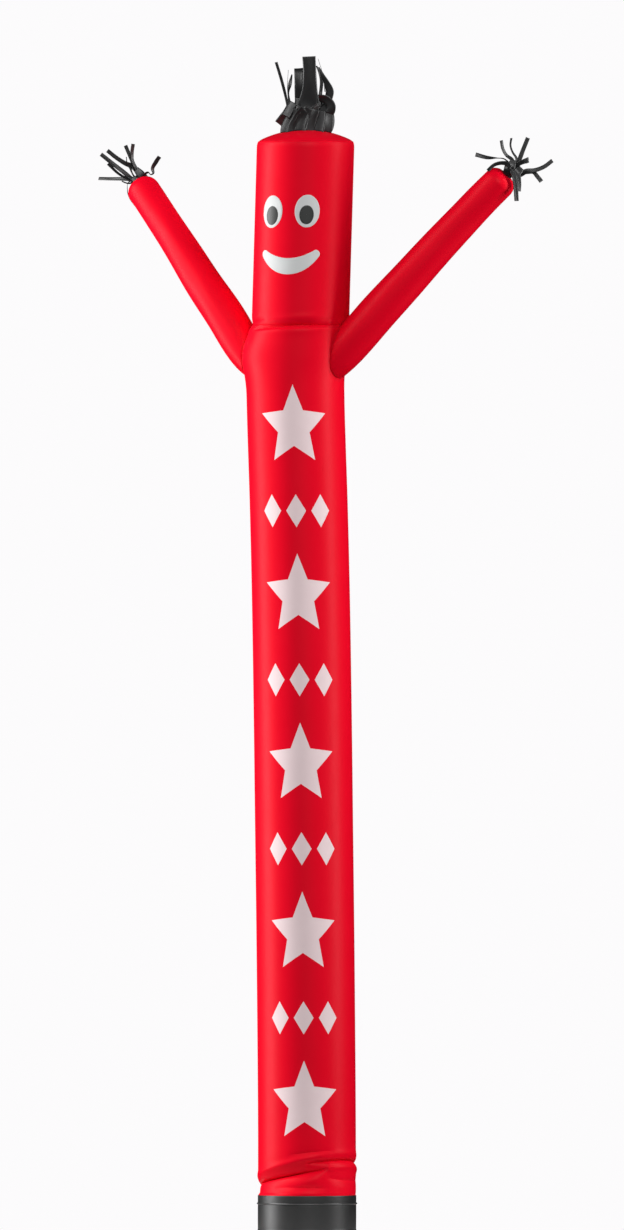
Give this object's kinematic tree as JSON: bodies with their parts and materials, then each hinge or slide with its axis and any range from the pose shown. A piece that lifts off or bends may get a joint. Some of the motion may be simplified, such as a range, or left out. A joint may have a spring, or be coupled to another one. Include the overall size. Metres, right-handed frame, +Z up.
{
  "type": "inflatable air dancer",
  "caption": "Tall inflatable cloth tube figure on a dark collar, with a smiling face, two raised tapered arms and dark ribbons for hair and hands.",
  "frame": {"origin": "middle of the object's plan, on the floor under the collar's hem", "axes": "+Z up along the tube; the printed front and the face look towards -Y, the face a little towards -X"},
  "size_m": [2.1214, 1.0192, 5.4985],
  "materials": {
    "red_nylon": "coated red nylon with a soft sheen",
    "collar_cloth": "heavy coated black cloth, satin",
    "black_ribbon": "thin coated black nylon with a sheen",
    "white_patch": "sewn-on white nylon",
    "grey_patch": "sewn-on grey nylon"
  },
  "bodies": {
    "root": {"collar": "collar_cloth", "collar_welt": "collar_cloth", "body_tube": "red_nylon", "head_tube": "red_nylon", "head_crown": "red_nylon", "left_arm": "red_nylon", "right_arm": "red_nylon", "eye_white_left": "white_patch", "eye_white_right": "white_patch", "pupil_left": "grey_patch", "pupil_right": "grey_patch", "smile": "white_patch", "hair": "black_ribbon", "left_hand_ribbons": "black_ribbon", "right_hand_ribbons": "black_ribbon"}
  },
  "joints": []
}
